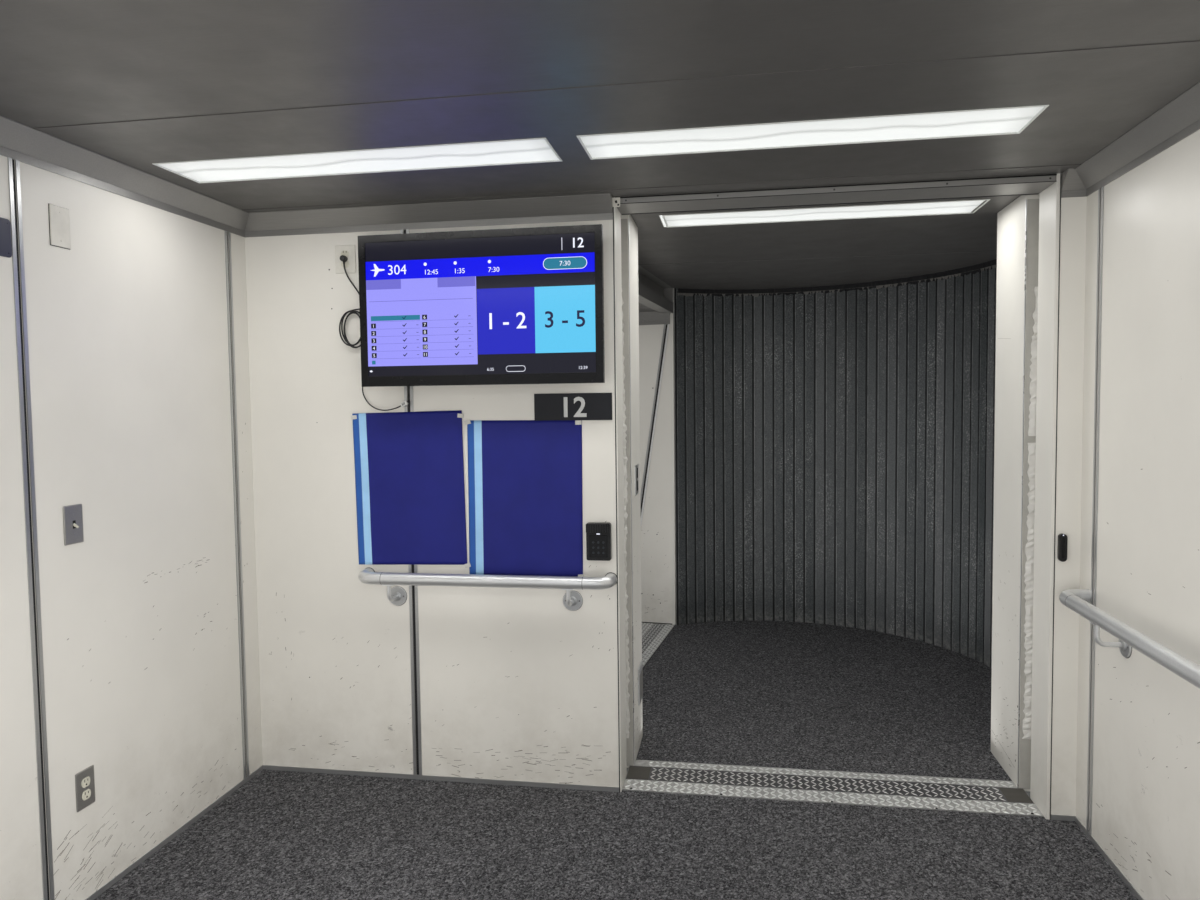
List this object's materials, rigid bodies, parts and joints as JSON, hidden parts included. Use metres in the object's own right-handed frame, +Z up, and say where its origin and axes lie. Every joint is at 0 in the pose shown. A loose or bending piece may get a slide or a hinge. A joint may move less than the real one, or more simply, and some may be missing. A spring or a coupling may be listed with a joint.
{
  "type": "jet bridge rotunda section",
  "caption": "Walk-in end of a jet bridge: vestibule, doorway, round slat-curtained rotunda and the first tunnel bay.",
  "frame": {"origin": "centre of the column flange on the underside, on the rotunda's axis", "axes": "+Y from the terminal end to the rotunda, +X to the right, +Z up"},
  "size_m": [3.5548, 5.9301, 2.74],
  "materials": {
    "carpet": "dark grey loop pile",
    "ceiling_grey": "dark grey satin metallic panels",
    "connector_white": "white moulded connector",
    "cord_black": "satin black cable sheath",
    "cove_grey": "mid grey satin metal trim",
    "curtain_steel": "dark galvanised slats",
    "deck_steel": "primed steel plate",
    "frame_steel": "dark grey structural paint",
    "frame_white": "satin off-white paint on folded steel",
    "gasket_black": "matt black rubber",
    "light_lens": "lit prismatic diffuser",
    "light_tray": "white enamel",
    "outer_grey": "light grey exterior paint",
    "panel_white": "satin off-white paint, scuffed near the floor",
    "plate_metal": "brushed wall plate",
    "poster_blue": "satin printed sheet",
    "rail_alu": "satin anodised tube",
    "reader_black": "black moulded case",
    "screen": "black bezel and lit screen",
    "sign_black": "matt black plate",
    "strip_alu": "satin extrusion",
    "tread_plate": "worn tread plate"
  },
  "bodies": {
    "root": {"floor_frame": "frame_steel", "rotunda_base": "frame_steel", "floor_deck": "deck_steel", "carpets": "carpet", "door_sill": "tread_plate", "left_wall": "panel_white", "right_wall": "panel_white", "front_wall": "panel_white", "wall_gaskets": "gasket_black", "wall_strips": "strip_alu", "cove_trims": "cove_grey", "vestibule_ceiling": "ceiling_grey", "ceiling_battens": "ceiling_grey", "light_trays": "light_tray", "light_lenses": "light_lens", "door_jamb_left": "frame_white", "door_jamb_right": "frame_white", "door_header": "cove_grey", "curtain_1": "curtain_steel", "curtain_2": "curtain_steel", "curtain_3": "curtain_steel", "curtain_left": "curtain_steel", "curtain_rail": "frame_steel", "curtain_guides": "frame_white", "curtain_housings": "outer_grey", "rotunda_ceiling": "ceiling_grey", "rotunda_roof": "outer_grey", "vestibule_roof": "outer_grey", "cladding_left": "outer_grey", "cladding_right": "outer_grey", "cladding_front": "outer_grey", "mouth_frame": "frame_steel", "portal_posts": "frame_white", "portal_header": "cove_grey", "tunnel_floor": "frame_steel", "tunnel_ramp": "tread_plate", "tunnel_walls": "panel_white", "tunnel_ceiling": "ceiling_grey", "tunnel_roof": "outer_grey", "tunnel_cladding": "outer_grey", "tunnel_frame": "frame_steel", "handrail_front": "rail_alu", "handrail_right": "rail_alu", "monitor": "screen", "posters": "poster_blue", "sign_plate": "sign_black", "card_readers": "reader_black", "wall_plates": "plate_metal", "cord_plug": "cord_black", "screen_cord": "cord_black", "cord_hank": "cord_black", "loop_cord": "cord_black", "loop_connector": "connector_white"}
  },
  "joints": []
}
